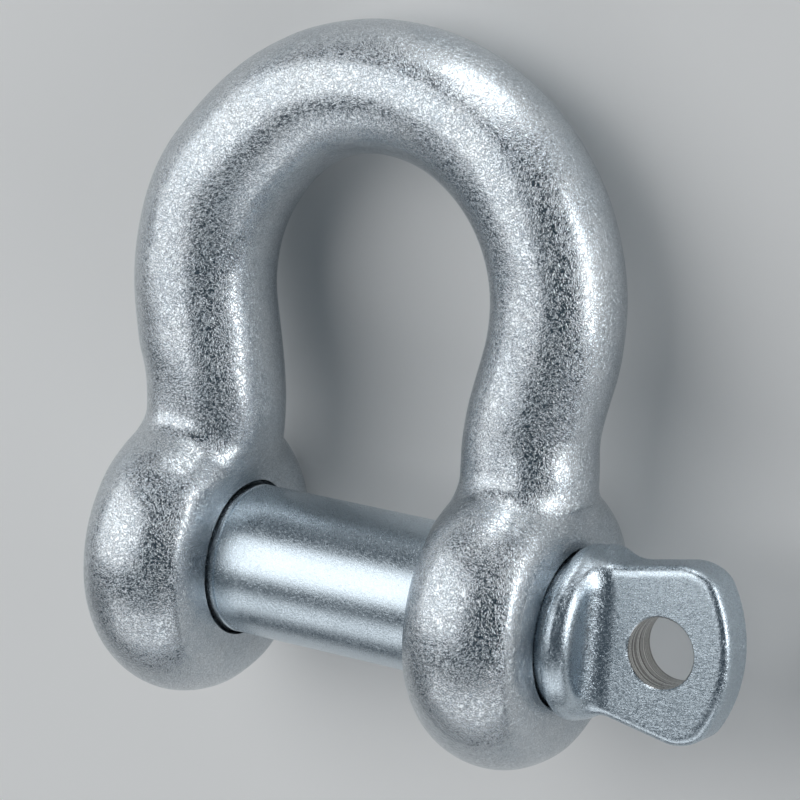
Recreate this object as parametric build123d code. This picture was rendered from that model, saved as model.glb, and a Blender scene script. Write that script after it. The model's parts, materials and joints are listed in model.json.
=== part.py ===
from build123d import *
import math
import os

# Screw pin bow shackle, nominal 19 mm bar with a 22 mm pin.
# Frame: millimetres, +Z up, lying on its side as it comes to rest on a floor.
# The origin is on the pin's axis, midway between the two ears.
# X runs along the pin towards its eye, and the bow reaches out along +Y.
# Everything is drawn flat in the XY plane first and tilted onto the floor at the end.

# Pin and the room that it leaves between the ears
PIN_DIAMETER = 22.4
JAW_WIDTH = 37.2
PIN_RADIUS = PIN_DIAMETER / 2
HALF_JAW = JAW_WIDTH / 2

# Ears: round forged bosses with a bulging rim and two flat faces
EAR_THICKNESS = 18.2
EAR_DIAMETER = 44.2
EAR_FACE_DIAMETER = 34.6
RIM_SHARPNESS = 0.94
EAR_OUTER = HALF_JAW + EAR_THICKNESS
EAR_MIDDLE = HALF_JAW + EAR_THICKNESS / 2
EAR_RADIUS = EAR_DIAMETER / 2
FACE_RADIUS = EAR_FACE_DIAMETER / 2

# Bow: a round bar bent into a horseshoe whose legs lean in towards the ears
BAR_DIAMETER = 19.4
BAR_RADIUS = BAR_DIAMETER / 2
LEG_INSET = 0.5
LEG_OFFSET = EAR_MIDDLE - LEG_INSET
BOW_BELLY = 2.7
BOW_RADIUS = LEG_OFFSET + BOW_BELLY
LEG_BEND_RADIUS = 30.0
LEG_RUN = 6.7

# Necks: where the bar's fillet ends on the ear's rim, and where the plain bar begins
NECK_FILLET = 3.5
NECK_RISE = 2.15
NECK_SEAT = 0.1
NECK_SINK = 0.2
NECK_SECTIONS = 6
NECK_REACH = BAR_RADIUS + NECK_FILLET
NECK_TURN = math.sqrt((EAR_RADIUS + NECK_FILLET) ** 2 - NECK_REACH ** 2)
NECK_HEIGHT = NECK_TURN + NECK_RISE

# The straight run of a leg touches both its bend and the round of the bow
BENDS = BOW_RADIUS + LEG_BEND_RADIUS
LEG_SPAN = math.hypot(BENDS, LEG_RUN)
LEG_LEAN = math.acos((LEG_OFFSET + LEG_BEND_RADIUS) / LEG_SPAN) - math.atan2(LEG_RUN, BENDS)
BOW_CENTRE = NECK_HEIGHT + BENDS * math.sin(LEG_LEAN) + LEG_RUN * math.cos(LEG_LEAN)
CROWN_HEIGHT = BOW_CENTRE + BOW_RADIUS

# Holes through the ears
HOLE_CLEARANCE = 0.4
PLAIN_HOLE_RADIUS = PIN_RADIUS + HOLE_CLEARANCE
PLAIN_HOLE_EDGE = 0.3
THREAD_RADIUS = 10.2
THREAD_FIT = 0.05
COUNTERBORE_CLEARANCE = 0.6
COUNTERBORE_RADIUS = PIN_RADIUS + COUNTERBORE_CLEARANCE
COUNTERBORE_DEPTH = 2.0
TAP_EDGE = 1.2
CUTTER_RUNOUT = 1.0

# Screw pin along its own axis
SHANK_REACH = 1.2
SHANK_END = HALF_JAW + SHANK_REACH
SHANK_EDGE = 0.8
SHANK_GROOVE_AT = HALF_JAW - SHANK_REACH
SHANK_GROOVE_WIDTH = 0.6
SHANK_GROOVE_DEPTH = 0.3
RELIEF_RADIUS = 9.2
RELIEF_WIDTH = 2.4
THREAD_PROUD = 1.4
THREAD_EDGE = 1.3

# Collar, standing off the ear because the pin is backed off half a turn from tight
COLLAR_GAP = 1.4
COLLAR_RADIUS = 12.5
COLLAR_WIDTH = 3.6
COLLAR_BACK_EDGE = 0.35
COLLAR_FRONT_EDGE = 1.4
COLLAR_BACK = EAR_OUTER + COLLAR_GAP
COLLAR_FRONT = COLLAR_BACK + COLLAR_WIDTH

# Eye plate
PLATE_THICKNESS = 7.2
PLATE_ROOT_HALF = 10.2
PLATE_END_HALF = 13.6
PLATE_LENGTH = 21.0
PLATE_CORNER = 4.5
PLATE_BULGE = 3.2
PLATE_EDGE = 1.7
PLATE_ROOT_FILLET = 2.0
EYE_DIAMETER = 10.2
EYE_FROM_COLLAR = 10.6
EYE_EDGE = 0.2
PLATE_TIP = COLLAR_FRONT + PLATE_LENGTH
EYE_CENTRE = COLLAR_FRONT + EYE_FROM_COLLAR

# Slack when an edge is found by its place
FOUND_WITHIN = 0.01

# Lying angle: the bow leans down until the crown and both ear rims touch the floor
REST_TILT = math.degrees(math.asin((EAR_RADIUS - BAR_RADIUS) / CROWN_HEIGHT))


def bow_centreline():
    """Centreline of the bar, from the right neck over the crown to the left neck."""
    cos_lean = math.cos(LEG_LEAN)
    sin_lean = math.sin(LEG_LEAN)
    side = (BOW_RADIUS * cos_lean, BOW_CENTRE - BOW_RADIUS * sin_lean)
    bend = (side[0] - LEG_RUN * sin_lean, side[1] - LEG_RUN * cos_lean)
    with BuildLine() as line:
        RadiusArc((LEG_OFFSET, NECK_HEIGHT), bend, LEG_BEND_RADIUS)
        Line(bend, side)
        ThreePointArc(side, (0, CROWN_HEIGHT), (-side[0], side[1]))
        Line((-side[0], side[1]), (-bend[0], bend[1]))
        RadiusArc((-bend[0], bend[1]), (-LEG_OFFSET, NECK_HEIGHT), LEG_BEND_RADIUS)
    return line.wire()


def bar():
    """Round bar of one thickness, bent along the centreline."""
    path = bow_centreline()
    section = Plane(origin=path @ 0, z_dir=path % 0) * Circle(BAR_RADIUS)
    return sweep(section, path=path)


def neck(side):
    """Flare where a leg runs into its ear, as a fillet seen along the pin."""
    foot_y = NECK_TURN * EAR_RADIUS / (EAR_RADIUS + NECK_FILLET) - NECK_SINK
    foot_radius = EAR_THICKNESS / 2 - NECK_SEAT
    sections = []
    for part in range(NECK_SECTIONS + 1):
        share = part / NECK_SECTIONS
        height = NECK_HEIGHT + (foot_y - NECK_HEIGHT) * share
        drop = max(NECK_TURN - height, 0)
        across = NECK_REACH - math.sqrt(NECK_FILLET ** 2 - drop ** 2)
        in_plane = BAR_RADIUS + (foot_radius - BAR_RADIUS) * share
        middle = LEG_OFFSET + (EAR_MIDDLE - LEG_OFFSET) * share
        plane = Plane(origin=(side * middle, height, 0), x_dir=(0, 0, 1), z_dir=(0, 1, 0))
        with BuildSketch(plane) as section:
            Ellipse(across, in_plane)
        sections.append(section.sketch)
    return loft(sections)


def ear(side):
    """One boss: a short drum whose rim bulges in an elliptical curve between two flat faces."""
    half = EAR_THICKNESS / 2
    fall = 1 - math.sqrt(1 - RIM_SHARPNESS ** 2)
    bulge = (EAR_RADIUS - FACE_RADIUS) / fall
    with BuildSketch() as section:
        with Locations((0, EAR_RADIUS - bulge)):
            Ellipse(half / RIM_SHARPNESS, bulge)
        with Locations((0, (EAR_RADIUS - bulge) / 2)):
            Rectangle(2 * EAR_THICKNESS, EAR_RADIUS - bulge)
        with Locations((0, EAR_RADIUS / 2)):
            Rectangle(EAR_THICKNESS, EAR_RADIUS, mode=Mode.INTERSECT)
    return Pos(side * EAR_MIDDLE, 0, 0) * revolve(section.sketch, Axis.X)


def turned(profile):
    """Solid turned about the pin's axis from (x, radius) corners."""
    start = (profile[0][0], 0)
    end = (profile[-1][0], 0)
    outline = Polyline(start, *profile, end, close=True)
    return revolve(make_face(outline), Axis.X)


def plain_hole():
    """Clearance hole through the right ear, with a broken edge at both mouths."""
    reach = PLAIN_HOLE_RADIUS + PLAIN_HOLE_EDGE
    return turned(
        (
            (HALF_JAW - CUTTER_RUNOUT, reach + CUTTER_RUNOUT),
            (HALF_JAW + PLAIN_HOLE_EDGE, PLAIN_HOLE_RADIUS),
            (EAR_OUTER - PLAIN_HOLE_EDGE, PLAIN_HOLE_RADIUS),
            (EAR_OUTER + CUTTER_RUNOUT, reach + CUTTER_RUNOUT),
        )
    )


def tapped_hole():
    """Hole for the thread in the left ear, counterbored for the end of the plain shank."""
    bore = THREAD_RADIUS + THREAD_FIT
    step = COUNTERBORE_RADIUS - bore
    return turned(
        (
            (-EAR_OUTER - CUTTER_RUNOUT, bore + TAP_EDGE + CUTTER_RUNOUT),
            (-EAR_OUTER + TAP_EDGE, bore),
            (-HALF_JAW - COUNTERBORE_DEPTH - step, bore),
            (-HALF_JAW - COUNTERBORE_DEPTH, COUNTERBORE_RADIUS),
            (-HALF_JAW + CUTTER_RUNOUT, COUNTERBORE_RADIUS),
        )
    )


def bow():
    """The forged bow with its two drilled ears."""
    body = bar()
    for side in (1, -1):
        body += neck(side)
        body += ear(side)
    return body - plain_hole() - tapped_hole()


def pin_body():
    """Threaded end, relief, plain shank and collar, all turned about one axis."""
    tip = -EAR_OUTER - THREAD_PROUD
    relief_start = -SHANK_END - RELIEF_WIDTH
    groove = SHANK_GROOVE_DEPTH
    profile = (
        (tip, THREAD_RADIUS - THREAD_EDGE),
        (tip + THREAD_EDGE, THREAD_RADIUS),
        (relief_start - (THREAD_RADIUS - RELIEF_RADIUS), THREAD_RADIUS),
        (relief_start, RELIEF_RADIUS),
        (-SHANK_END, RELIEF_RADIUS),
        (-SHANK_END, PIN_RADIUS - SHANK_EDGE),
        (-SHANK_END + SHANK_EDGE, PIN_RADIUS),
        (-SHANK_GROOVE_AT - SHANK_GROOVE_WIDTH / 2, PIN_RADIUS),
        (-SHANK_GROOVE_AT - SHANK_GROOVE_WIDTH / 4, PIN_RADIUS - groove),
        (-SHANK_GROOVE_AT + SHANK_GROOVE_WIDTH / 4, PIN_RADIUS - groove),
        (-SHANK_GROOVE_AT + SHANK_GROOVE_WIDTH / 2, PIN_RADIUS),
        (COLLAR_BACK, PIN_RADIUS),
        (COLLAR_BACK, COLLAR_RADIUS - COLLAR_BACK_EDGE),
        (COLLAR_BACK + COLLAR_BACK_EDGE, COLLAR_RADIUS),
        (COLLAR_FRONT, COLLAR_RADIUS),
    )
    body = turned(profile)
    front = body.edges().filter_by(GeomType.CIRCLE).sort_by(Axis.X)[-1]
    return fillet(front, COLLAR_FRONT_EDGE)


def eye_plate():
    """Flattened head: a blade that flares from the collar to a bulged end with round corners."""
    root_x = COLLAR_FRONT - COLLAR_FRONT_EDGE
    end_x = PLATE_TIP - PLATE_BULGE
    with BuildSketch() as outline:
        with BuildLine():
            Line((root_x, -PLATE_ROOT_HALF), (end_x, -PLATE_END_HALF))
            ThreePointArc((end_x, -PLATE_END_HALF), (PLATE_TIP, 0), (end_x, PLATE_END_HALF))
            Line((end_x, PLATE_END_HALF), (root_x, PLATE_ROOT_HALF))
            Line((root_x, PLATE_ROOT_HALF), (root_x, -PLATE_ROOT_HALF))
        make_face()
        fillet(outline.vertices().group_by(Axis.X)[-1], PLATE_CORNER)
    blade = extrude(outline.sketch, PLATE_THICKNESS / 2, both=True)
    face_z = PLATE_THICKNESS / 2
    rim = [edge for edge in blade.edges() if abs(edge.center().Z) > face_z - FOUND_WITHIN]
    rim = [edge for edge in rim if edge.center().X > root_x + FOUND_WITHIN]
    return fillet(rim, PLATE_EDGE)


def eye_hole():
    """Round eye across the plate, with a small bevel at both faces."""
    half = PLATE_THICKNESS / 2
    hole = Cylinder(EYE_DIAMETER / 2, 2 * PLATE_THICKNESS)
    bevel = Cone(EYE_DIAMETER / 2, EYE_DIAMETER / 2 + 2 * EYE_EDGE, 2 * EYE_EDGE)
    cutter = hole + Pos(0, 0, half) * bevel + Pos(0, 0, -half) * Rot(180, 0, 0) * bevel
    return Pos(EYE_CENTRE, 0, 0) * cutter


def screw_pin():
    """The whole pin, forged and turned in one piece."""
    head = pin_body() + eye_plate()
    root = [
        edge
        for edge in head.edges()
        if abs(edge.center().X - COLLAR_FRONT) < FOUND_WITHIN
        and abs(abs(edge.center().Z) - PLATE_THICKNESS / 2) < FOUND_WITHIN
    ]
    head = fillet(root, PLATE_ROOT_FILLET)
    return head - eye_hole()


def export(node, solid):
    """Lean the shape onto the floor about the pin's axis and write it."""
    lying = Rot(-REST_TILT, 0, 0) * solid
    lying.label = node
    export_step(lying, os.path.join("parts", node + ".step"))


os.makedirs("parts", exist_ok=True)
export("bow", bow())
export("screw_pin", screw_pin())
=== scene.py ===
# %% [markdown]
# # A screw pin bow shackle
# A bow shackle is a forged steel horseshoe with a round ear at each end.
# A pin screws into one ear and carries a collar and a flattened head with an eye at the other.
# It could be put together from bent tubes and cylinders, but a forging has no such seams.
# So both pieces are shaped by formula here, and then drilled and threaded as the real ones are.
# The frame below comes from the CAD part, so every piece made here sits where the part says.

import json
import math

import bpy
import numpy as np
from mathutils import Matrix, Vector

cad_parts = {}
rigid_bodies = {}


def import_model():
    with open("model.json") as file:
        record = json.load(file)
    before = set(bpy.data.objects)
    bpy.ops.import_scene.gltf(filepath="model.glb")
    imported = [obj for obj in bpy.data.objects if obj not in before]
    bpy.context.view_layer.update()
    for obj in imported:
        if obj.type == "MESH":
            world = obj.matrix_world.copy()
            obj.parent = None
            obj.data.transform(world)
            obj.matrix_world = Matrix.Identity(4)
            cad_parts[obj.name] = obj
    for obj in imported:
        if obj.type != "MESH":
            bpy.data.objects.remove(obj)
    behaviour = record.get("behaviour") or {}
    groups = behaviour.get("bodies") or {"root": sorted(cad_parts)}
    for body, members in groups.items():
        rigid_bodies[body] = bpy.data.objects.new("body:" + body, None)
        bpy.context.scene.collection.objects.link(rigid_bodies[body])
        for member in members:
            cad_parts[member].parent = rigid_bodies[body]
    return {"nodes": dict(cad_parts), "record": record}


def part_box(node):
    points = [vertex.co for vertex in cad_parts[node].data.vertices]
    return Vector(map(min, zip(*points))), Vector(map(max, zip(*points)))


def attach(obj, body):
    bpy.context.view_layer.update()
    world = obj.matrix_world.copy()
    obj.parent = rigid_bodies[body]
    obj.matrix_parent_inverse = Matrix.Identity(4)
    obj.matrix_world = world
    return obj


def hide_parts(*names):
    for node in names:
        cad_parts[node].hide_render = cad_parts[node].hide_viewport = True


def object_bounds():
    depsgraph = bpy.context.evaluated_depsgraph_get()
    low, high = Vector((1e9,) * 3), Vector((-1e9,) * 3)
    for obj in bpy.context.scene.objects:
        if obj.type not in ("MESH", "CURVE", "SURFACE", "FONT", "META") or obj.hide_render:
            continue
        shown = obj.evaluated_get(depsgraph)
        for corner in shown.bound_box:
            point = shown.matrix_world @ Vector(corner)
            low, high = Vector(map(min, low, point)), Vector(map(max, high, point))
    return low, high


for extra in list(bpy.data.objects):
    bpy.data.objects.remove(extra)
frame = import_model()
cad_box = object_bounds()
scene = bpy.context.scene
MM = 0.001
print("nodes", sorted(frame["nodes"]), "box in mm", [[round(v / MM, 1) for v in c] for c in cad_box])

# %% [markdown]
# The record names the pin's size, the jaw and the eye, and the bow's box gives the rest.
# Typing the sizes in again would be quicker, but then they could disagree with the part.
# The shackle lies on the floor, so its own upright axes are tipped over.
# The crown seat's axis points from the crown back to the pin, which gives that tip.

# %% Measure the frame
mounts = {mount["name"]: mount for mount in frame["record"]["mounts"]}
bow_low, bow_high = (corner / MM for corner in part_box("bow"))
pin_low, pin_high = (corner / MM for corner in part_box("screw_pin"))

PIN_RADIUS = mounts["pin_shank"]["dims"]["r_mm"]
HALF_JAW = mounts["pin_shank"]["dims"]["length_mm"] / 2
EYE_RADIUS = mounts["head_eye"]["dims"]["r_mm"]
EYE_X = mounts["head_eye"]["pos_m"][0] / MM
EAR_RADIUS = -bow_low.z
HALF_EAR = 9.1
EAR_MIDDLE = HALF_JAW + HALF_EAR
EAR_OUTER = HALF_JAW + 2 * HALF_EAR

seat_axis = Vector(mounts["crown_seat"]["axis"])
seat = Vector(mounts["crown_seat"]["pos_m"]) / MM
LEAN = math.atan2(seat_axis.z, -seat_axis.y)
BAR_RADIUS = (bow_high.y - seat.y) / (1 + math.cos(LEAN))
CROWN = seat.length + BAR_RADIUS
LIE_DOWN = Matrix.Rotation(-LEAN, 4, "X")
STAND_TO_LIE = Matrix.Rotation(-LEAN - math.pi / 2, 4, "X")
print("pin", PIN_RADIUS, "half jaw", HALF_JAW, "ear", round(EAR_RADIUS, 2), round(EAR_OUTER, 2))
print("bar", round(BAR_RADIUS, 2), "crown", round(CROWN, 2), "lean", round(math.degrees(LEAN), 2))

# %% [markdown]
# ## The camera
# The camera stands where the photographer stood. It is easiest to describe for an upright shackle:
# so many degrees round it, so many above it, a slight roll, and a long lens.
# The same turn that lays the shackle on the floor then carries the camera with it.

# %% Place the camera
VIEW_AROUND = 30.06
VIEW_ABOVE = 10.99
VIEW_ROLL = 4.69
VIEW_DISTANCE = 521.26 * MM
VIEW_TARGET = Vector((5.29, 0, 28.08)) * MM
VIEW_LENS = 161.57
SENSOR_WIDTH = 36
CLIP_START = 0.01


def direction(around, above):
    """The way from the upright shackle to a place so many degrees round it and above it."""
    a, e = math.radians(around), math.radians(above)
    return Vector((math.sin(a) * math.cos(e), -math.cos(a) * math.cos(e), math.sin(e)))


towards_camera = direction(VIEW_AROUND, VIEW_ABOVE)
camera = bpy.data.objects.new("camera", bpy.data.cameras.new("camera"))
scene.collection.objects.link(camera)
turn = (-towards_camera).to_track_quat("-Z", "Y").to_matrix().to_4x4()
roll = Matrix.Rotation(math.radians(VIEW_ROLL), 4, "Z")
place = Matrix.Translation(VIEW_TARGET + towards_camera * VIEW_DISTANCE)
camera.matrix_world = STAND_TO_LIE @ place @ turn @ roll
camera.data.lens = VIEW_LENS
camera.data.sensor_width = SENSOR_WIDTH
camera.data.clip_start = CLIP_START
scene.camera = camera
print("camera at", [round(v, 4) for v in camera.matrix_world.translation])

# %% [markdown]
# ## Shaping with a formula
# A forging has no sharp seams: its leg melts into its ear. Modelling that with quads by hand is hard.
# Here the shape is a formula that gives the distance to the surface, below zero inside the metal.
# Two shapes join through a round fillet, and a surface is cut with a rounded edge, both by formula.

# %% Joining and cutting distances
def fillet_join(a, b, radius):
    """Union of two distance fields with a concave fillet of that radius."""
    corner = np.hypot(np.maximum(radius - a, 0), np.maximum(radius - b, 0))
    return np.maximum(radius, np.minimum(a, b)) - corner


def round_cut(a, b, radius):
    """What two distance fields share, with the edge between them rounded to that radius."""
    corner = np.hypot(np.maximum(radius + a, 0), np.maximum(radius + b, 0))
    return np.minimum(-radius, np.maximum(a, b)) + corner


def slope(field, points, reach=0.01):
    """The field's direction of steepest rise at each point."""
    steps = np.eye(3) * reach
    return np.stack([field(points + s) - field(points - s) for s in steps], 1) / (2 * reach)


print("fields join and cut: fillet at zero", round(float(fillet_join(0.5, 0.5, 1)), 3))

# %% [markdown]
# The skin's points have to lie exactly on the surface and be evenly spread, or it shades badly.
# A point steps along the steepest slope until the formula reads zero,
# and between such steps it moves halfway to the middle of its neighbours.
# Smoothing alone would spread the points as well, but it shrinks the shape.

# %% Points onto the surface
def onto_surface(field, points, rounds):
    """The points after so many steps straight towards the surface."""
    for _ in range(rounds):
        rise = slope(field, points)
        points = points - rise * (field(points) / (rise ** 2).sum(1))[:, None]
    return points


def evened(points, faces):
    """Each point moved halfway to the middle of its neighbours."""
    ends = np.concatenate([faces[:, [k, (k + 1) % 4]] for k in range(4)])
    ends = np.concatenate([ends, ends[:, ::-1]])
    share = np.bincount(ends[:, 0], minlength=len(points))[:, None]
    sums = [np.bincount(ends[:, 0], points[ends[:, 1], k], len(points)) for k in range(3)]
    return (points + np.stack(sums, 1) / share) / 2


def ball(points):
    """Distance to a ball of radius 1, to try the tools on."""
    return np.linalg.norm(points, axis=1) - 1


landed = onto_surface(ball, np.array([[1.5, 0.5, 0.2]]), 2)
print("a stray point lands", round(abs(float(ball(landed)[0])), 6), "from the test ball")

# %% [markdown]
# A grid of small cubes finds where the formula changes sign. Each crossed cube gets one point,
# and cubes that share a crossed edge are joined by a four-sided face.
# The points are then evened out and pushed onto the exact surface, so the skin is smooth.
# Blender's own remesh could do this too, but it doesn't know the formula and rounds fine edges.

# %% From a formula to a skin
EVENING_ROUNDS = 4


def crossed_faces(inside, number):
    """Faces between cubes, one for every grid edge that the surface crosses."""
    faces = []
    for axis in range(3):
        near = np.moveaxis(inside, axis, 0)[:-1, 1:-1, 1:-1]
        far = np.moveaxis(inside, axis, 0)[1:, 1:-1, 1:-1]
        cubes = np.moveaxis(number, axis, 0)
        corners = (cubes[:, :-1, :-1], cubes[:, 1:, :-1], cubes[:, 1:, 1:], cubes[:, :-1, 1:])
        turned_over = axis == 1
        for crossed, flip in ((near & ~far, turned_over), (far & ~near, not turned_over)):
            quads = np.stack([corner[crossed] for corner in corners], 1)
            faces.append(quads[:, ::-1] if flip else quads)
    return np.concatenate(faces)


def skin(field, low, high, step):
    """Points and faces of the surface where the field is zero."""
    axes = [np.arange(a, b + step, step) for a, b in zip(low, high)]
    grid = np.stack(np.meshgrid(*axes, indexing="ij"), -1)
    inside = (field(grid.reshape(-1, 3)) < 0).reshape(grid.shape[:3])
    count = sum(
        inside[i : i - 1 or None, j : j - 1 or None, k : k - 1 or None].astype(np.int8)
        for i in (0, 1)
        for j in (0, 1)
        for k in (0, 1)
    )
    crossed = (count > 0) & (count < 8)
    number = np.full(count.shape, -1)
    number[crossed] = np.arange(crossed.sum())
    faces = crossed_faces(inside, number)
    points = grid[:-1, :-1, :-1][crossed] + step / 2
    points = onto_surface(field, points, 3)
    for _ in range(EVENING_ROUNDS):
        points = onto_surface(field, evened(points, faces), 2)
    return points, faces


ball_points, ball_faces = skin(ball, (-1.3, -1.3, -1.3), (1.3, 1.3, 1.3), 0.2)
print("the test ball has", len(ball_points), "points and", len(ball_faces), "faces")

# %% [markdown]
# Every piece is worked out in millimetres, with the bow flat in the XY plane.
# One function turns points and faces into a Blender object, lays it down with the shackle,
# and switches on smooth shading, with hard edges only where faces really meet at an angle.
# Cutting and joining use Blender's exact Boolean, because the meshes have to stay closed.

# %% Making objects
HARD_EDGE = math.radians(38)


def finish_mesh(piece):
    """Smooth shading, with hard edges only where faces meet at a real angle."""
    piece.data.update()
    piece.data.shade_smooth()
    piece.data.set_sharp_from_angle(angle=HARD_EDGE)
    piece.data.update()


def make_piece(name, points, faces):
    """A new object from points in millimetres, laid down as the shackle lies."""
    mesh = bpy.data.meshes.new(name)
    mesh.from_pydata([LIE_DOWN @ Vector(p) * MM for p in points], [], [list(f) for f in faces])
    piece = bpy.data.objects.new(name, mesh)
    scene.collection.objects.link(piece)
    finish_mesh(piece)
    return piece


def machine(piece, tool, operation="DIFFERENCE"):
    """Cut a piece with a tool, or join one to it, and keep the result as its mesh."""
    modifier = piece.modifiers.new(operation.lower(), "BOOLEAN")
    modifier.operation = operation
    modifier.object = tool
    modifier.solver = "EXACT"
    seen = piece.evaluated_get(bpy.context.evaluated_depsgraph_get())
    made = bpy.data.meshes.new_from_object(seen)
    piece.modifiers.clear()
    piece.data = made
    bpy.data.objects.remove(tool)
    finish_mesh(piece)


def triangles(piece):
    """How many triangles the piece's faces come to."""
    return sum(len(face.vertices) - 2 for face in piece.data.polygons)


print("pieces are laid down by", round(math.degrees(LEAN), 2), "degrees")

# %% [markdown]
# ## The bow
# On the real shackle a round bar is forged with an upset ball at each end and bent hot over a former.
# Its centreline is a big arc over the crown, a short straight leg, and a gentle bend into each ear.
# A curve with a bevel could follow that line, but it couldn't melt into the ears.
# So a formula measures how far a point is from the line, and the ears are joined to it later.

# %% The bar's centreline
BOW_RADIUS = 29.9
BEND_RADIUS = 30.0
STRAIGHT = 6.7
LEG_INSET = 0.5
LEG_X = EAR_MIDDLE - LEG_INSET
BOW_CENTRE = CROWN - BOW_RADIUS
LEG_LEAN = math.acos((LEG_X + BEND_RADIUS) / math.hypot(BOW_RADIUS + BEND_RADIUS, STRAIGHT))
LEG_LEAN -= math.atan2(STRAIGHT, BOW_RADIUS + BEND_RADIUS)
up_leg = np.array([math.sin(LEG_LEAN), math.cos(LEG_LEAN)])
out_leg = np.array([math.cos(LEG_LEAN), -math.sin(LEG_LEAN)])
leg_top = np.array([0, BOW_CENTRE]) + BOW_RADIUS * out_leg
NECK_Y = (leg_top - STRAIGHT * up_leg)[1] - BEND_RADIUS * up_leg[0]


def beside_centreline(x, y):
    """How far outwards of the bar's centreline a point of the right half lies."""
    over_crown = np.hypot(x, y - BOW_CENTRE) - BOW_RADIUS
    on_leg = (x - leg_top[0]) * out_leg[0] + (y - leg_top[1]) * out_leg[1]
    in_bend = BEND_RADIUS - np.hypot(x - LEG_X - BEND_RADIUS, y - NECK_Y)
    along = (x - leg_top[0]) * up_leg[0] + (y - leg_top[1]) * up_leg[1]
    offset = np.where(along > 0, over_crown, np.where(along > -STRAIGHT, on_leg, in_bend))
    return np.where(y < NECK_Y, x - LEG_X, offset)


print("leg leans", round(math.degrees(LEG_LEAN), 2), "degrees, neck at", round(NECK_Y, 2))

# %% [markdown]
# The leg narrows a little where it enters the ear, so that it doesn't stand out past the flats.
# No hammer works evenly: on this forging the left leg is fuller and meets its ear further in,
# and both legs stand a little proud on the outside just above the ear.
# Sculpting could add that, but a ramp that eases each difference in and out keeps it smooth.

# %% The round bar as a formula
FULLER_LEG = 0.95
FULLER_AT_NECK = 0.45
FULLER_STARTS = (10, 16)
FULLER_GROWS = (20, 31)
FULLER_FADES = (56, 70)
OFF_THE_CROWN = (4, 20)
SET_IN = 1.5
SET_IN_STARTS = (10, 17)
SET_IN_FADES = (19, 32)
NECK_PROUD = 0.7
PROUD_OUTWARDS = (0, 6)
PROUD_STARTS = (13, 18)
PROUD_FADES = (20, 29)
LEG_CLEARANCE = 0.1


def ramp(value, start, end):
    """Eases from zero at the start to one at the end."""
    share = np.clip((value - start) / (end - start), 0, 1)
    return share * share * (3 - 2 * share)


def hump(value, starts, fades):
    """Eases in over the first range and out again over the second."""
    return ramp(value, *starts) * (1 - ramp(value, *fades))


def bar_field(x, y, z, left):
    """Distance to the round bar, with this forging's own unevenness on it."""
    fuller = left * FULLER_LEG * ramp(x, *OFF_THE_CROWN) * hump(y, FULLER_STARTS, FULLER_FADES)
    fuller *= FULLER_AT_NECK + (1 - FULLER_AT_NECK) * ramp(y, *FULLER_GROWS)
    set_in = left * SET_IN * hump(y, SET_IN_STARTS, SET_IN_FADES)
    beside = beside_centreline(x + set_in, y)
    into_ear = np.clip((NECK_Y - y) / NECK_Y, 0, 1)
    narrow = 1 - into_ear * (1 - (HALF_EAR - LEG_CLEARANCE) / BAR_RADIUS)
    beside = (beside - into_ear * (EAR_MIDDLE - LEG_X)) / narrow
    proud = NECK_PROUD * ramp(beside, *PROUD_OUTWARDS) * hump(y, PROUD_STARTS, PROUD_FADES)
    return np.maximum(np.hypot(beside, z) - BAR_RADIUS - fuller - proud, -y)


print("the left leg is fuller by", FULLER_LEG, "and set in by", SET_IN)

# %% [markdown]
# Each ear is a drum with a rim that bulges like a flattened ball, cut by two flat faces.
# The outer flats end in a soft crease. The inner ones lean back and melt into the leg,
# as they do where the former stopped, so they have no wall above them.

# %% The ears as formulas
RIGHT_FACE_RADIUS = 17.4
LEFT_FACE_RADIUS = 17.0
RIM_SHARPNESS = 0.86
RIM_WIDTH = HALF_EAR / RIM_SHARPNESS
FACE_REACH = 0.4
FACE_LIFT = 3.0
FACE_LEANS = (10, 21)
CLEAR_OF_LEG = 30
FACE_CLEARS = (20, 40)
TINY = 1e-9


def ear_field(across, out, face_radius):
    """Distance to the bulging drum, from its middle plane and from the pin's axis."""
    bulge = (EAR_RADIUS - face_radius) / (1 - math.sqrt(1 - RIM_SHARPNESS ** 2))
    u = across / RIM_WIDTH
    v = np.maximum(out - (EAR_RADIUS - bulge), 0) / bulge
    size = np.hypot(u, v) + TINY
    return (size - 1) * size / np.hypot(u / RIM_WIDTH, v / bulge).clip(TINY)


def flats_field(across, y, out, face_radius):
    """Above zero where the two flats cut the metal away."""
    outer_face = np.minimum(across - HALF_EAR, face_radius + FACE_REACH - out)
    lean_back = FACE_LIFT * ramp(y, *FACE_LEANS) + CLEAR_OF_LEG * ramp(y, *FACE_CLEARS)
    return np.maximum(outer_face, -across - HALF_EAR - lean_back)


print("ear rims are", round(RIM_WIDTH, 2), "wide each way before the flats are cut")

# %% [markdown]
# The whole bow is the bar and the ear of one side joined with a fillet, mirrored by using
# the distance from the middle, and cut by the flats. A few long ripples make it look hammered.

# %% The whole bow
NECK_FILLET = 1.9
FACE_EDGE = 1.2
WAVE_DEPTH = 0.03
BOW_STEP = 0.57
GRID_MARGIN = 1.5


def waves(points):
    """Shallow hammer waves: two pairs of crossing ripples, some centimetres long."""
    x, y, z = points.T
    first = np.sin(0.41 * x + 0.23 * y + 1.1) * np.sin(0.31 * y - 0.37 * z)
    second = np.sin(0.62 * z + 0.19 * x) * np.sin(0.53 * y + 0.29 * x + 2.0)
    return WAVE_DEPTH * (first + 0.6 * second)


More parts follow.
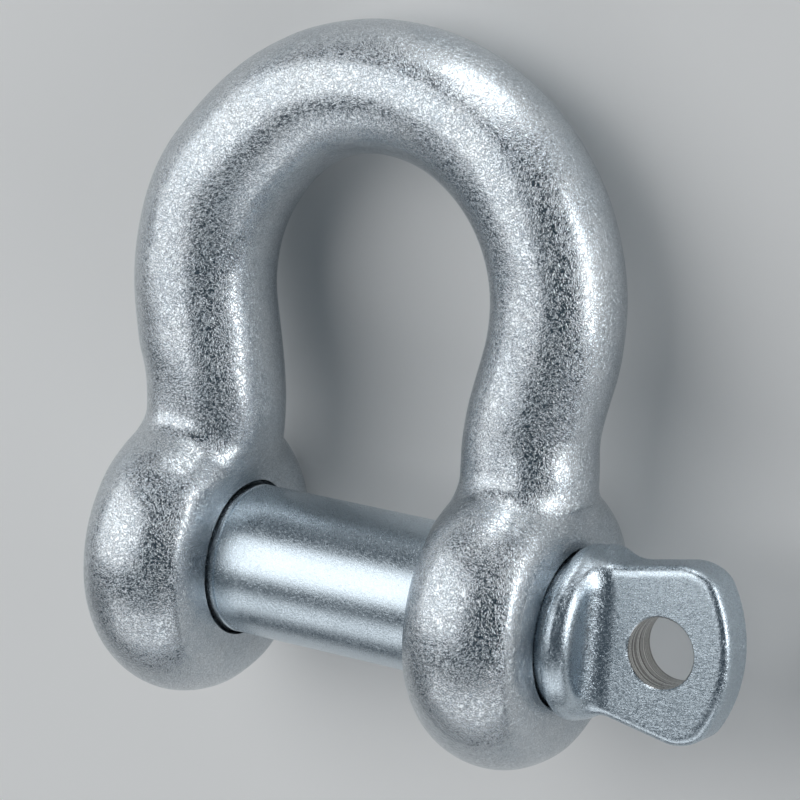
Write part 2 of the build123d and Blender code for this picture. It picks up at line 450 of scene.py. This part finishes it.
def bow_field(points):
    """Distance to the forged bow, before its ears are drilled."""
    x, y, z = np.abs(points[:, 0]), points[:, 1], points[:, 2]
    left = points[:, 0] < 0
    across, out = x - EAR_MIDDLE, np.hypot(y, z)
    face_radius = np.where(left, LEFT_FACE_RADIUS, RIGHT_FACE_RADIUS)
    ear = ear_field(across, out, face_radius)
    body = fillet_join(bar_field(x, y, z, left), ear, NECK_FILLET)
    return round_cut(body + waves(points), flats_field(across, y, out, face_radius), FACE_EDGE)


points, faces = skin(
    bow_field,
    (-EAR_OUTER - BAR_RADIUS, -EAR_RADIUS - GRID_MARGIN, -EAR_RADIUS - GRID_MARGIN),
    (EAR_OUTER + BAR_RADIUS, CROWN + BAR_RADIUS + GRID_MARGIN, EAR_RADIUS + GRID_MARGIN),
    BOW_STEP,
)
bow = make_piece("forged_bow", points, faces)
print("bow skin", len(points), "points,", triangles(bow), "triangles")

# %% [markdown]
# ## Drills, taps and the lathe
# The pin holds by a thread: a groove that moves along by one pitch for each turn.
# A screw modifier could wind one round the shaft, but it would begin and end at once.
# A formula for the depth of the cut lets it fade in and out, as a real thread does.

# %% The thread's cut
PITCH = 2.8
THREAD_DEPTH = 1.0
CREST = 0.14
FLANK = 0.72
RUN_OUT = 0.5


def tooth(turns):
    """Zero on a thread's crest and one in its root, for a place counted in pitches."""
    wave = np.abs(2 * (turns % 1) - 1)
    return np.clip((wave - CREST) / FLANK, 0, 1)


def thread_cut(x, angles, start, end):
    """How deep the thread is cut at each place between its two ends."""
    cut = THREAD_DEPTH * tooth(x / PITCH - angles / (2 * math.pi))
    fade = np.clip((x - start) / PITCH, 0, 1) * np.clip((end - x) / PITCH, 0, 1)
    return cut * np.minimum(fade / RUN_OUT, 1)


print("thread pitch", PITCH, "and depth", THREAD_DEPTH)

# %% [markdown]
# A drill is a turned shape too, so one function makes the drills here and the pin's shaft later.
# It is given the radius at a few stations along X, as a turner reads them off a drawing.
# Between the thread's two ends it adds many more, because the thread needs rows to follow.

# %% Turned shapes
SEGMENTS = 144
THREAD_ROWS = 14


def with_thread_rows(stations, start, end):
    """The stations with many more between the thread's two ends."""
    steps = np.arange(start, end, PITCH / THREAD_ROWS)[1:]
    extra = np.stack([steps, np.interp(steps, stations[:, 0], stations[:, 1])], 1)
    kept = [p for p in stations if not start < p[0] < end]
    return np.array(sorted([*kept, *extra], key=lambda p: p[0]))


def turned(name, stations, threads=None, inwards=True):
    """A closed shape turned about X, whose thread goes inwards on a shaft and outwards on a tap."""
    stations = np.array(stations, float)
    if threads:
        stations = with_thread_rows(stations, *threads)
    angles = np.linspace(0, 2 * math.pi, SEGMENTS, endpoint=False)
    x, radius = stations[:, :1], np.repeat(stations[:, 1:], SEGMENTS, 1)
    if threads:
        radius = radius - thread_cut(x, angles, *threads) * (1 if inwards else -1)
    grid = np.stack([x + 0 * radius, radius * np.cos(angles), radius * np.sin(angles)], -1)
    rows = len(stations)
    here = np.arange(rows * SEGMENTS).reshape(rows, SEGMENTS)
    after = np.roll(here, -1, 1)
    quads = np.stack([here[:-1], after[:-1], after[1:], here[1:]], -1).reshape(-1, 4)
    ends = [list(here[0][::-1]), list(here[-1])]
    return make_piece(name, grid.reshape(-1, 3), [*quads.tolist(), *ends])


print("lathe ready with", SEGMENTS, "segments and", THREAD_ROWS, "rows to a pitch")

# %% [markdown]
# After forging, the ears are drilled. The right hole is plain and lets the pin through,
# and its rims are broken with a small bevel, which the drill's wider ends cut at the same time.
# The left hole is counterbored for the shank's end and tapped with the thread.

# %% Drill both ears
OVERCUT = 1
PLAIN_HOLE = PIN_RADIUS + 0.4
PLAIN_EDGE = 0.35
COUNTERBORE = PIN_RADIUS + 0.6
COUNTERBORE_END = HALF_JAW + 2.0
JAW_OVERCUT = 0.5
TAP_RADIUS = 10.25
TAP_EDGE = 1.2
TAP_STOP = 0.3


def bevelled_drill(name, low, high, radius, edge):
    """A drill from one face to another that breaks both rims of its hole."""
    wide = radius + edge + OVERCUT
    stations = ((low - OVERCUT, wide), (low + edge, radius), (high - edge, radius), (high + OVERCUT, wide))
    return turned(name, stations)


machine(bow, bevelled_drill("drill", HALF_JAW, EAR_OUTER, PLAIN_HOLE, PLAIN_EDGE))
tap = turned(
    "tap",
    (
        (-EAR_OUTER - OVERCUT, TAP_RADIUS + TAP_EDGE + OVERCUT),
        (-EAR_OUTER + TAP_EDGE, TAP_RADIUS),
        (-COUNTERBORE_END - COUNTERBORE + TAP_RADIUS, TAP_RADIUS),
        (-COUNTERBORE_END, COUNTERBORE),
        (-HALF_JAW + JAW_OVERCUT, COUNTERBORE),
    ),
    threads=(-EAR_OUTER, -COUNTERBORE_END - TAP_STOP),
    inwards=False,
)
machine(bow, tap)
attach(bow, "bow")
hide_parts("bow")
print("bow drilled,", triangles(bow), "triangles")

# %% [markdown]
# ## The pin
# The pin's head is forged with its collar and eye plate in one, so the same formula way fits it.
# The collar is a disc with a bevel, a fine uneven step round its rim and a small burr on top.
# As a cylinder with a bevel modifier it would look machined, and this one is only trimmed.

# %% The collar as a formula
COLLAR_GAP = 1.4
COLLAR_THICKNESS = 3.6
COLLAR_RADIUS = 12.5
COLLAR_BACK = EAR_OUTER + COLLAR_GAP
COLLAR_FRONT = COLLAR_BACK + COLLAR_THICKNESS
COLLAR_BEVEL = 1.7
COLLAR_EDGE = 0.6
COLLAR_BACK_EDGE = 0.35
COLLAR_STEP = 0.3
STEP_PLACE = (COLLAR_BACK + 1.6, COLLAR_BACK + 2.0)
BURR_PLACE = np.array([COLLAR_FRONT - 0.9, COLLAR_RADIUS - 0.8, -2.2])
BURR_SHAPE = np.array([1.2, 0.9, 1.8])
STEP_WANDER = ((0.07, 5, 1), (0.05, 11, 0))


def collar_field(points):
    """Distance to the collar, whose step wanders a little as it goes round the rim."""
    x, y, z = points.T
    around = np.arctan2(z, y)
    wander = sum(size * np.sin(count * around + shift) for size, count, shift in STEP_WANDER)
    step = COLLAR_STEP * ramp(x + wander, *STEP_PLACE)
    rim, front = np.hypot(y, z) - COLLAR_RADIUS, x - COLLAR_FRONT
    bevel = (rim + front + COLLAR_BEVEL) / math.sqrt(2)
    collar = round_cut(round_cut(rim + step, bevel, COLLAR_EDGE), front, COLLAR_EDGE)
    collar = round_cut(collar, COLLAR_BACK - x, COLLAR_BACK_EDGE)
    burr = np.linalg.norm((points - BURR_PLACE) / BURR_SHAPE, axis=1) - 1
    return np.minimum(collar, burr * BURR_SHAPE.min())


print("collar from", round(COLLAR_BACK, 2), "to", round(COLLAR_FRONT, 2))

# %% [markdown]
# The plate flares a little from the collar, ends in a shallow arc, and all its edges are round.
# Its outline is made of distances to two slanting sides and a circle, and it joins the collar
# with a wide fillet, which is the soft valley between the two on the real head.

# %% The plate and the whole head
PLATE_HALF = 3.6
PLATE_EDGE = 1.4
PLATE_RISE = 0.4
PLATE_SUNK = 1.6
PLATE_ROOT_HALF = 10.2
PLATE_END_HALF = 13.6
PLATE_CORNER = 3.4
PLATE_BULGE = 5.0
PLATE_FILLET = 3.8
PLATE_TIP = pin_high.x
HEAD_STEP = 0.4
END_RADIUS = (PLATE_END_HALF ** 2 + PLATE_BULGE ** 2) / (2 * PLATE_BULGE)
FLARE = math.atan2(
    PLATE_END_HALF - PLATE_ROOT_HALF, PLATE_TIP - PLATE_BULGE - COLLAR_FRONT + PLATE_SUNK
)


def plate_field(points):
    """Distance to the eye plate, before its eye is drilled."""
    x, y, z = points.T
    y = y - PLATE_RISE
    from_root = x - COLLAR_FRONT + PLATE_SUNK
    side = (np.abs(y) - PLATE_ROOT_HALF) * math.cos(FLARE) - from_root * math.sin(FLARE)
    end = np.hypot(x - PLATE_TIP + END_RADIUS, y) - END_RADIUS
    outline = round_cut(side, end, PLATE_CORNER)
    plate = round_cut(outline, np.abs(z) - PLATE_HALF, PLATE_EDGE)
    return np.maximum(plate, -from_root)


def head_field(points):
    """Distance to the collar and the plate, with the valley between them."""
    return fillet_join(collar_field(points), plate_field(points), PLATE_FILLET)


points, faces = skin(
    head_field,
    (COLLAR_BACK - GRID_MARGIN, -PLATE_END_HALF - GRID_MARGIN, -COLLAR_RADIUS - GRID_MARGIN),
    (PLATE_TIP + GRID_MARGIN, PLATE_END_HALF + GRID_MARGIN, COLLAR_RADIUS + GRID_MARGIN),
    HEAD_STEP,
)
pin = make_piece("forged_pin", points, faces)
print("head skin", len(points), "points,", triangles(pin), "triangles")

# %% [markdown]
# The shaft is turned on the same lathe: a threaded end, a relief, a shoulder that enters
# the counterbore, and a plain shank with one fine groove. It runs into the collar,
# where a Boolean union joins both into one closed mesh, since the real pin is one piece.

# %% Turn the shaft and join it to the head
TIP = pin_low.x
TIP_BEVEL = 1.3
THREAD_RADIUS = 10.2
THREAD_STARTS = 0.4
THREAD_STOPS = 3.0
RELIEF_RADIUS = 9.2
RELIEF_WIDTH = 2.4
RELIEF_WITH_SLOPE = 3.4
SHANK_END = HALF_JAW + 1.2
SHANK_BEVEL = 0.8
GROOVE = HALF_JAW - 1.2
GROOVE_HALF = 0.3
GROOVE_FLOOR_HALF = 0.15
GROOVE_DEPTH = 0.3
INTO_COLLAR = 1.5

shaft = turned(
    "shaft",
    (
        (TIP, THREAD_RADIUS - TIP_BEVEL),
        (TIP + TIP_BEVEL, THREAD_RADIUS),
        (-SHANK_END - RELIEF_WITH_SLOPE, THREAD_RADIUS),
        (-SHANK_END - RELIEF_WIDTH, RELIEF_RADIUS),
        (-SHANK_END, RELIEF_RADIUS),
        (-SHANK_END, PIN_RADIUS - SHANK_BEVEL),
        (-SHANK_END + SHANK_BEVEL, PIN_RADIUS),
        (-GROOVE - GROOVE_HALF, PIN_RADIUS),
        (-GROOVE - GROOVE_FLOOR_HALF, PIN_RADIUS - GROOVE_DEPTH),
        (-GROOVE + GROOVE_FLOOR_HALF, PIN_RADIUS - GROOVE_DEPTH),
        (-GROOVE + GROOVE_HALF, PIN_RADIUS),
        (COLLAR_BACK + INTO_COLLAR, PIN_RADIUS),
    ),
    threads=(TIP + THREAD_STARTS, -SHANK_END - THREAD_STOPS),
)
machine(pin, shaft, "UNION")
print("shaft joined,", triangles(pin), "triangles")

# %% [markdown]
# The eye takes a spike that turns the pin. It is drilled through the plate,
# and its rims are broken with a small bevel. The drill is made along X like every turned shape,
# so it is turned upright and moved to the eye before it cuts.

# %% Drill the eye
EYE_EDGE = 0.25
eye_drill = bevelled_drill("eye_drill", -PLATE_HALF, PLATE_HALF, EYE_RADIUS, EYE_EDGE)
upright = Matrix.Rotation(-math.pi / 2, 4, "Y")
to_eye = LIE_DOWN @ Matrix.Translation((EYE_X * MM, PLATE_RISE * MM, 0)) @ upright
eye_drill.data.transform(to_eye @ LIE_DOWN.inverted())
machine(pin, eye_drill)
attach(pin, "screw_pin")
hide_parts("screw_pin")
print("pin ready,", triangles(pin), "triangles")

# %% [markdown]
# ## Finishes
# Both pieces are zinc-coated steel, and all that tells them apart is grain, gloss and tint.
# An image texture would be fixed to one photo and one size, so each finish is made of nodes.
# Shader maths reads best as a sum, so a small class wraps a socket and turns + - * into Math nodes.

# %% A class for sums with sockets
class Wire:
    """A node's output that can be used in a sum."""

    def __init__(self, finish, socket):
        self.finish = finish
        self.socket = socket

    def maths(self, operation, a, b):
        return self.finish.node("ShaderNodeMath", {"operation": operation}, {0: a, 1: b})

    def __add__(self, other):
        return self.maths("ADD", self, other)

    def __sub__(self, other):
        return self.maths("SUBTRACT", self, other)

    def __rsub__(self, other):
        return self.maths("SUBTRACT", other, self)

    def __mul__(self, other):
        return self.maths("MULTIPLY", self, other)

    def __abs__(self):
        return self.maths("ABSOLUTE", self, 0)

    __radd__ = __add__
    __rmul__ = __mul__


print("sums work with + - * and abs()")

# %% [markdown]
# Each finish holds a material and writes its nodes as plain calls, one call for any kind of node.
# Wiring them by hand in the editor works as well, but can't be read from top to bottom.
# Places are taken in millimetres on the object itself, so a pattern's size can be named as it is,
# and the pattern stays on the piece when it moves.

# %% A class that writes nodes
class NodeWriter:
    """A material whose nodes are written as plain calls."""

    def __init__(self, name, **constants):
        self.material = bpy.data.materials.new(name)
        self.material.use_nodes = True
        self.tree = self.material.node_tree
        self.shader = self.tree.nodes["Principled BSDF"]
        self.set(**constants)
        here = self.node("ShaderNodeTexCoord", out="Object")
        self.place = self.node(
            "ShaderNodeVectorMath", {"operation": "SCALE"}, {"Vector": here, "Scale": 1 / MM}
        )

    def node(self, kind, settings=None, inputs=None, out=0):
        """A new node with its settings, then its sockets, and one of its outputs as a wire."""
        made = self.tree.nodes.new(kind)
        for key, value in (settings or {}).items():
            setattr(made, key, value)
        for key, value in (inputs or {}).items():
            self.feed(made.inputs[key], value)
        return Wire(self, made.outputs[out])

    def feed(self, socket, value):
        """Link a wire to a socket, or set a value on it."""
        if isinstance(value, Wire):
            self.tree.links.new(value.socket, socket)
        else:
            socket.default_value = value

    def set(self, **sockets):
        """Feed the shader's own sockets, such as Base_Color."""
        for name, value in sockets.items():
            self.feed(self.shader.inputs[name.replace("_", " ")], value)

    def dress(self, piece):
        """Give the piece this material and no other."""
        piece.data.materials.clear()
        piece.data.materials.append(self.material)


print("a node writer can", [name for name in vars(NodeWriter) if not name.startswith("_")])

# %% [markdown]
# The finishes share a few patterns: noise, a value held between two others, a mix of two colours,
# a bump, and how far a place is from an axis. Each is one call that adds the nodes it needs.
# Written out node by node for every finish, the same lines would come back many times.

# %% A class for finishes
class Finish(NodeWriter):
    """A node writer that knows the patterns these finishes are made of."""

    def noise(self, size, detail=2, roughness=0.5, distortion=0):
        """Noise whose patches are about this many millimetres across."""
        values = {"Vector": self.place, "Scale": 1 / size, "Detail": detail}
        values |= {"Roughness": roughness, "Distortion": distortion}
        return self.node("ShaderNodeTexNoise", None, values)

    def between(self, value, low, high, out_low=0, out_high=1):
        """A value carried from one range to another and held inside it."""
        values = {"Value": value, "From Min": low, "From Max": high}
        values |= {"To Min": out_low, "To Max": out_high}
        return self.node("ShaderNodeMapRange", {"clamp": True}, values)

    def blend(self, share, a, b):
        """A colour between two colours, which are the Mix node's sockets 6 and 7."""
        values = {0: share, 6: a, 7: b}
        return self.node("ShaderNodeMix", {"data_type": "RGBA"}, values, out=2)

    def bump(self, height, depth, under=None):
        """A normal bent by a height that is counted in this many millimetres."""
        values = {"Height": height, "Distance": depth * MM, "Strength": 1}
        if under:
            values["Normal"] = under
        return self.node("ShaderNodeBump", None, values)

    def vector(self, operation, a, b, out="Vector"):
        """Vector maths on two places or directions."""
        return self.node("ShaderNodeVectorMath", {"operation": operation}, {0: a, 1: b}, out)

    def from_axis(self, centre, axis):
        """How many millimetres a place is from an axis."""
        across = self.vector("CROSS_PRODUCT", self.vector("SUBTRACT", self.place, centre), axis)
        return self.vector("LENGTH", across, centre, out="Value")

    def along_axis(self, centre, axis):
        """How many millimetres along an axis a place is."""
        offset = self.vector("SUBTRACT", self.place, centre)
        return self.vector("DOT_PRODUCT", offset, axis, out="Value")


print("a finish can also", [name for name in vars(Finish) if not name.startswith("_")])

# %% [markdown]
# ## Galvanised steel on the bow
# Dipped zinc freezes with a fine worm-like grain over the forging's own low lumps and pits.
# A plain noise looks like sand. A worm lies where a noise passes its middle value,
# so its distance from the middle draws them as a height, with a thin dark line painted in each crease as
# shade.

# %% Galvanised finish
PALE_ZINC = ((0.65, 0.70, 0.74, 1), (0.70, 0.74, 0.77, 1))
DARK_ZINC = ((0.35, 0.41, 0.46, 1), (0.41, 0.46, 0.50, 1))
NOISE_MIDDLE = 0.5
WORM_WIDTH = 0.12
SHADED_CREASE_EDGES = (0.01, 0.06)
FROST_EDGES = (0.35, 0.65)
CREASE_SHADE_WEIGHT = 0.8
SPECKLE_COLOUR = 0.3
SPECKLE_GLOSS = 0.6
FROST_GLOSS = 0.3

galvanised = Finish("galvanised_bow", Metallic=1.0)
lumps = galvanised.noise(size=5.0)
pits = galvanised.noise(size=1.3, roughness=0.6, distortion=0.4)
crossing = abs(galvanised.noise(size=0.60, detail=1, distortion=2.0) - NOISE_MIDDLE)
worms = galvanised.between(crossing, 0.0, WORM_WIDTH)
# Thin dark lines are painted along the worms' grooves: painted shade in the creases.
crease_shade_mask = galvanised.between(crossing, *SHADED_CREASE_EDGES)
speckle = galvanised.noise(size=0.30, roughness=0.6)
frost = galvanised.between(galvanised.noise(size=6.0, detail=4, roughness=0.65), *FROST_EDGES)
pale = galvanised.blend(frost, *PALE_ZINC)
dark = galvanised.blend(frost, *DARK_ZINC)
uneven = speckle * SPECKLE_GLOSS + frost * FROST_GLOSS
low_relief = galvanised.bump(pits, depth=0.03, under=galvanised.bump(lumps, depth=0.06))
galvanised.set(
    Base_Color=galvanised.blend(crease_shade_mask * CREASE_SHADE_WEIGHT + speckle * SPECKLE_COLOUR, dark, pale),
    Roughness=galvanised.between(uneven, 0.3, 0.7, out_low=0.19, out_high=0.27),
    Normal=galvanised.bump(worms, depth=0.023, under=low_relief),
)
galvanised.dress(bow)
print("galvanised finish with", len(galvanised.tree.nodes), "nodes")

# %% [markdown]
# ## Zinc plate on the pin
# The pin is plated, so it is smoother and a little bluer. Where each surface was worked shows:
# the turned shank has the faintest grain, the forged head has more, and the trimmed edge
# round the plate is rougher, with shade painted darker along it. Masks for these come from places on the
# pin.

# %% Masks for the pin
HEAD_FADE = 1
PLATE_FADE = 3
RIM_EDGES = (2.3, 3.3)
EYE_WALL_DEPTH = 0.1

plated = Finish("zinc_plated_pin", Metallic=1.0)
eye_centre = LIE_DOWN @ Vector((EYE_X, PLATE_RISE, 0))
eye_axis = LIE_DOWN.to_3x3() @ Vector((0, 0, 1))
from_eye = plated.from_axis(eye_centre, eye_axis)
along_eye = plated.along_axis(eye_centre, eye_axis)
along_pin = plated.along_axis((0, 0, 0), (1, 0, 0))
in_eye = plated.between(from_eye, EYE_RADIUS + EYE_WALL_DEPTH, EYE_RADIUS)
on_head = plated.between(along_pin, EAR_OUTER, EAR_OUTER + HEAD_FADE)
on_plate = plated.between(along_pin, COLLAR_FRONT, COLLAR_FRONT + PLATE_FADE)
on_rim = on_plate * (1 - plated.between(abs(along_eye), *RIM_EDGES)) * (1 - in_eye)
print("masks made with", len(plated.tree.nodes), "nodes")

# %% [markdown]
# The eye's wall is warmer in colour than the plate round it, like bare steel,
# and it is ringed by the tool that cut it. Grooves that fine could be real geometry,
# but noise in one direction only, along the drill's axis, draws such rings at no cost.

# %% The bare wall of the eye
BARE_DARK = (0.16, 0.15, 0.14, 1)
BARE_BRIGHT = (0.80, 0.78, 0.75, 1)
RING_EDGES = (0.40, 0.60)
tool_marks = plated.node(
    "ShaderNodeTexNoise", {"noise_dimensions": "1D"}, {"W": along_eye, "Scale": 2.6, "Detail": 3}
)
bare_wall = plated.blend(plated.between(tool_marks, *RING_EDGES), BARE_DARK, BARE_BRIGHT)


def with_eye_wall(*colour):
    """The colour, or the streaks of the bare drilled wall inside the eye."""
    return plated.blend(in_eye, (*colour, 1), bare_wall)


print("eye wall streaked along", [round(v, 2) for v in eye_axis])

# %% [markdown]
# The plate's own grain is the bow's worms again, finer and flatter, with a little dust and cloud, and
# shade painted in its creases.
# Its strength is a sum of the masks, so one pattern serves the whole pin.
# A second material for the head would need a seam where the pin has none.

# %% Zinc plate finish
DARK_PLATE = (0.40, 0.48, 0.55)
PALE_PLATE = (0.67, 0.75, 0.81)
FINE_WIDTH = 0.11
FINE_SHADED_CREASE_EDGES = (0.005, 0.05)
CLOUD_EDGES = (0.3, 0.7)
SHANK_GRAIN = 0.35
HEAD_GRAIN = 0.2
RIM_GRAIN = 0.6
HEAD_CREASE_SHADE = 0.2
CREASE_SHADE_DARKNESS = 0.7
RIM_PAINTED_SHADE = 0.3
DUST_DARKNESS = 0.3
CLOUD_DARKNESS = 0.1
CLOUD_GLOSS = 0.15

crossing = abs(plated.noise(size=0.52, detail=1, distortion=1.8) - NOISE_MIDDLE)
fine = plated.between(crossing, 0.0, FINE_WIDTH)
crease_shade_mask = plated.between(crossing, *FINE_SHADED_CREASE_EDGES)
grain = (SHANK_GRAIN + HEAD_GRAIN * on_head) * (1 - in_eye) + RIM_GRAIN * on_rim
dust = plated.noise(size=0.2, roughness=0.6)
cloud = plated.between(plated.noise(size=9.0, detail=3), *CLOUD_EDGES)
# Painted shade: the colour is darkened along the worms' grooves, more where the grain is stronger and on
# the head.
painted_crease_shade = (grain + HEAD_CREASE_SHADE * on_head) * (1 - crease_shade_mask) * CREASE_SHADE_DARKNESS
all_over = dust * DUST_DARKNESS + cloud * CLOUD_DARKNESS
# The edge round the plate is painted darker as well: painted shade along it.
paleness = 1 - painted_crease_shade - RIM_PAINTED_SHADE * on_rim - all_over
plated.set(
    Base_Color=plated.blend(paleness, with_eye_wall(*DARK_PLATE), with_eye_wall(*PALE_PLATE)),
    Roughness=plated.between(dust + cloud * CLOUD_GLOSS, 0.3, 0.8, out_low=0.23, out_high=0.31),
    Normal=plated.bump(fine * grain + tool_marks * in_eye, depth=0.02),
)
plated.dress(pin)
print("plated finish with", len(plated.tree.nodes), "nodes")

# %% [markdown]
# ## Floor and light
# The shackle lies on a plain pale floor, one big face of matt paper with the faintest mottling.
# A curved backdrop could hide the far edge, but the photo's camera looks down and never sees it.

# %% Floor
FLOOR_HALF = 1.2
PAPER_TINTS = ((0.90, 0.90, 0.89, 1), (0.93, 0.93, 0.92, 1))
floor_z = cad_box[0].z
floor_mesh = bpy.data.meshes.new("floor")
corners = [(x * FLOOR_HALF, y * FLOOR_HALF, floor_z) for x, y in ((-1, -1), (1, -1), (1, 1), (-1, 1))]
floor_mesh.from_pydata(corners, [], [(0, 1, 2, 3)])
floor = bpy.data.objects.new("floor", floor_mesh)
scene.collection.objects.link(floor)
paper = Finish("floor_paper", Roughness=0.85)
paper.set(Base_Color=paper.blend(paper.noise(size=60), *PAPER_TINTS))
paper.dress(floor)
print("floor at", round(floor_z, 4))

# %% [markdown]
# Bright metal shows its surroundings, so the lamps are placed for what the steel reflects:
# a wide one on the left, one on the right, a low one under the ears and two by the crown.
# They stand round the upright shackle, like the camera, and are laid down with it.
# The two by the crown are close to the floor and would burn it out, so they light the steel alone.
# The Standard view keeps the highlights as white as they are in the photo.

# %% Lamps
ROOM_COLOUR = (0.55, 0.78, 1.0, 1)
ROOM_STRENGTH = 0.07
world = bpy.data.worlds.new("studio")
world.use_nodes = True
background = world.node_tree.nodes["Background"]
background.inputs["Color"].default_value = ROOM_COLOUR
background.inputs["Strength"].default_value = ROOM_STRENGTH
scene.world = world
scene.view_settings.view_transform = "Standard"


def around_target(around, above, distance):
    """A place so many degrees round the shackle and above it, and so many metres away."""
    return VIEW_TARGET + direction(around, above) * distance


def softbox(name, place, aim, width, height, brightness, lit_only=None):
    """A soft rectangular lamp at one place beside the upright shackle, facing another."""
    light = bpy.data.lights.new(name, "AREA")
    light.shape = "RECTANGLE"
    light.size, light.size_y = width, height
    light.energy = brightness * math.pi * width * height
    lamp = bpy.data.objects.new(name, light)
    scene.collection.objects.link(lamp)
    facing = (aim - place).to_track_quat("-Z", "Y").to_matrix().to_4x4()
    lamp.matrix_world = STAND_TO_LIE @ Matrix.Translation(place) @ facing
    lamp.visible_camera = False
    lamp.light_linking.receiver_collection = lit_only


steel = bpy.data.collections.new("steel")
for piece in (bow, pin):
    steel.objects.link(piece)
by_crown = Vector((0.025, -0.012, 0.130))
crown_edge = Vector((0.01, -0.01, 0.08))
beyond_crown = Vector((0.06, -0.11, 0.50))
softbox("left", around_target(-37, 12, 0.8), VIEW_TARGET, width=1.2, height=0.70, brightness=1.65)
softbox("right", around_target(95, 16, 0.6), VIEW_TARGET, width=0.5, height=0.5, brightness=4.5)
softbox("low", around_target(10, -62, 0.8), VIEW_TARGET, width=1.6, height=0.45, brightness=1.1)
softbox("crown", by_crown, crown_edge, width=0.10, height=0.034, brightness=2.3, lit_only=steel)
softbox("beyond", beyond_crown, VIEW_TARGET, width=0.4, height=0.12, brightness=2.2, lit_only=steel)

# %% [markdown]
# ## Closing
